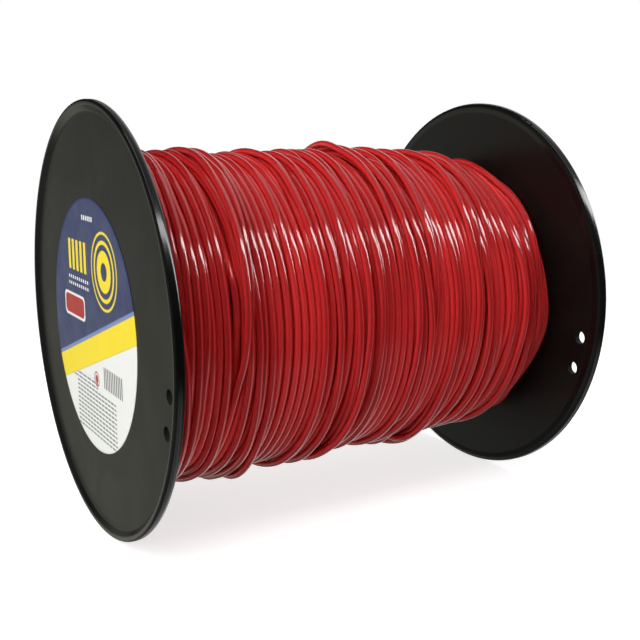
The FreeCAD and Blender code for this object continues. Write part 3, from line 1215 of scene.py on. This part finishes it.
@dataclass(frozen=True)
class Glow:
    """A soft glow in the surroundings, from where it starts to where it is full, as shares of its way."""

    way: Triple
    start: float
    full: float
    strength: float = 1.0

    def shine(self, nodes: Nodes, direction: Socket) -> Socket:
        """How bright it is in a direction."""
        share = nodes.vector_math("DOT_PRODUCT", direction, self.way)
        return nodes.remap(share, self.start, self.full, to_high=self.strength)


@dataclass
class Studio:
    """The camera, the pale floor, the soft lamps and the surroundings."""

    camera_place: Triple = (-0.20202, -0.36100, 0.15675)
    camera_azimuth: float = -30.16
    camera_elevation: float = 11.248
    lens: float = 56.01
    floor_radius: float = 0.6
    floor_sides: int = 64
    floor_fade: Pair = (0.3, 0.9)
    floor_pale: Pair = (0.85, 0.1)
    floor_lift: Pair = (0.72, 1.0)
    ambience: Pair = (0.09, 1.65)
    gloss_ambience: float = 0.02
    glows: tuple[Glow, ...] = (
        Glow((0.82, 0.51, 0.26), start=0.70, full=0.95, strength=0.88),
        Glow((0.0, 0.0, -1.0), start=0.25, full=0.60, strength=0.17),
        Glow((-1.0, 0.0, 0.0), start=0.40, full=0.90, strength=0.16))
    sheen: Glow = Glow((-0.52, 0.80, -0.30), start=0.84, full=1.0)
    sheen_right: Glow = Glow((1.0, 0.0, 0.0), start=-0.60, full=-0.42)
    sheen_top: Glow = Glow((0.0, 0.0, 1.0), start=-0.20, full=-0.02)
    sheen_strength: float = 0.56
    sheen_tint: Colour = (1.0, 1.0, 0.80, 1.0)
    strip_lean: float = 0.50
    strip_spread: Pair = (0.30, 0.05)
    strip_light: float = 0.8
    strip_low: Glow = Glow((0.0, 0.0, -1.0), start=0.34, full=0.56)
    strip_high: Glow = Glow((0.0, 0.0, 1.0), start=0.60, full=0.75, strength=0.6)
    lamps: tuple[Lamp, ...] = (
        Lamp("key_softbox", lean=-15, turn=62, distance=0.6, size=(1.2, 0.30), power=2.8, glossy=False),
        Lamp("gloss_tube", lean=40, turn=52, distance=0.6, size=(1.7, 0.13), power=9.6, diffuse=False),
        Lamp("overhead_strip", lean=0, turn=88, distance=1.3, size=(0.5, 1.1), power=2.45))

    def build(self) -> None:
        """Sets up the camera, the floor, the surroundings and the lamps."""
        self.place_camera()
        self.lay_floor()
        self.surround()
        for lamp in self.lamps:
            lamp.hang()

    def place_camera(self) -> None:
        """Puts the camera where the photograph was taken from."""
        azimuth, elevation = math.radians(self.camera_azimuth), math.radians(self.camera_elevation)
        back = Vector((math.sin(azimuth) * math.cos(elevation), -math.cos(azimuth) * math.cos(elevation),
                       math.sin(elevation)))
        data = bpy.data.cameras.new("camera")
        data.lens = self.lens
        data.sensor_width = 36.0
        data.clip_start = 0.01
        camera = placed("camera", data)
        camera.location = self.camera_place
        camera.rotation_mode = "QUATERNION"
        camera.rotation_quaternion = (-back).to_track_quat("-Z", "Y")
        bpy.context.scene.camera = camera
        bpy.context.scene.view_settings.view_transform = "Standard"

    def lay_floor(self) -> None:
        """Makes the pale floor. The camera sees it white, with the object's shadow kept."""
        mesh = bpy.data.meshes.new("floor")
        angles = [2 * math.pi * i / self.floor_sides for i in range(self.floor_sides)]
        corners = [(self.floor_radius * math.cos(a), self.floor_radius * math.sin(a), 0) for a in angles]
        mesh.from_pydata(corners, [], [tuple(range(self.floor_sides))])
        material, nodes, shader = new_material("pale_floor")
        path = nodes.add("ShaderNodeLightPath").outputs
        away = nodes.vector_math("LENGTH", nodes.add("ShaderNodeTexCoord").outputs["Object"])
        # Painted shade: the floor's own colour is paler near the reel and darker away from it, and the
        # camera sees it lifted to white
        fade = [share * self.floor_radius for share in self.floor_fade]
        pale = nodes.remap(away, *fade, *self.floor_pale)
        tone = nodes.add("ShaderNodeCombineColor", {"Red": pale, "Green": pale, "Blue": pale})
        lift = nodes.remap(away, *fade, *self.floor_lift)
        nodes.feed(shader, {
            "Base Color": tone.outputs[0], "Roughness": 0.9, "Specular IOR Level": 0.1,
            "Emission Color": (1, 1, 1, 1), "Emission Strength": nodes.times(path["Is Camera Ray"], lift)})
        clear = nodes.add("ShaderNodeBsdfTransparent").outputs[0]
        seen = nodes.add("ShaderNodeMixShader", {0: path["Is Glossy Ray"], 1: shader.outputs[0], 2: clear})
        nodes.feed(nodes.tree.nodes["Material Output"], {"Surface": seen.outputs[0]})
        mesh.materials.append(material)
        placed("floor", mesh)

    def surround(self) -> None:
        """Makes the surroundings: white to the camera, and softly graded for the light that they give."""
        world = bpy.data.worlds.new("surroundings")
        world.use_nodes = True
        world.node_tree.nodes.clear()
        nodes = Nodes(world.node_tree)
        direction = nodes.add("ShaderNodeTexCoord").outputs["Generated"]
        x = nodes.split(direction)[0]
        right, top, low, high = [glow.shine(nodes, direction) for glow in (
            self.sheen_right, self.sheen_top, self.strip_low, self.strip_high)]
        sheen = nodes.times(self.sheen.shine(nodes, direction), nodes.larger(right, top))
        off_strip = nodes.math("ABSOLUTE", nodes.minus(x, self.strip_lean))
        strip = nodes.remap(off_strip, *self.strip_spread, to_high=self.strip_light)
        heights = nodes.plus(low, high)
        graded = nodes.plus(nodes.times(sheen, self.sheen_strength), nodes.times(strip, heights))
        graded = nodes.plus(graded, self.gloss_ambience)
        for glow in self.glows:
            graded = nodes.plus(graded, glow.shine(nodes, direction))
        path = nodes.add("ShaderNodeLightPath").outputs
        glossy = path["Is Glossy Ray"]
        even = nodes.times(nodes.minus(1.0, glossy), nodes.remap(x, 0.0, -1.0, *self.ambience))
        given = nodes.plus(nodes.times(graded, glossy), even)
        strength = nodes.larger(given, path["Is Camera Ray"])
        tint = nodes.mix(nodes.times(glossy, sheen), (1, 1, 1, 1), self.sheen_tint)
        background = nodes.add("ShaderNodeBackground", {"Color": tint, "Strength": strength})
        nodes.add("ShaderNodeOutputWorld", {"Surface": background.outputs[0]})
        bpy.context.scene.world = world


def dress_frame(flange: Material, barrel: Material, line: Material) -> None:
    """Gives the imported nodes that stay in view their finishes.

    Args:
        flange: The finish of both flanges.
        barrel: The finish of the barrel.
        line: The finish of the line's first end.
    """
    finishes = {"sticker_side_flange": flange, "plain_side_flange": flange, "barrel": barrel,
                "line_first_end": line}
    for name, finish in finishes.items():
        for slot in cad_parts[name].material_slots:
            slot.material = finish
        log.info("%s: finished", name)


def main() -> None:
    """Builds the stage, the finishes and each piece in order."""
    Studio().build()
    effects = SharedEffects(moulded_grain_group(), scuff_group(), from_axis_group())
    flange = MouldedPlastic("flange_plastic", base=colour(9, 9, 8), worn=colour(20, 20, 17),
                            flat_roughness=0.40, rim_roughness=0.18, wall_roughness=1.0,
                            specular_level=0.36, rim_start=78.4 * MM, grain_depth=0.02 * MM,
                            effects=effects).build()
    barrel = MouldedPlastic("barrel_plastic", base=colour(20, 20, 19), worn=colour(40, 39, 37),
                            flat_roughness=0.55, rim_roughness=0.5, wall_roughness=0.6,
                            specular_level=0.2, rim_start=NO_RIM, grain_depth=0.03 * MM,
                            effects=effects).build()
    nylon = NylonFinish("red_nylon", base=colour(160, 29, 32), deep=colour(148, 24, 27),
                        painted_side_light=colour(214, 50, 52), painted_crest_highlight=colour(196, 54, 55), roughness=0.12,
                        glow=1.0, glow_depth=1.5 * MM, line_radius=1.35 * MM, effects=effects).build()
    low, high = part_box("sticker")
    film = PrintedFilm("printed_film", centre=((low.y + high.y) / 2, (low.z + high.z) / 2),
                       radius=(high.z - low.z) / 2, effects=effects).build()
    dress_frame(flange, barrel, nylon)
    WoundLine(nylon, StrandTree()).build()
    Label(film).build()


if __name__ == "__main__":
    main()
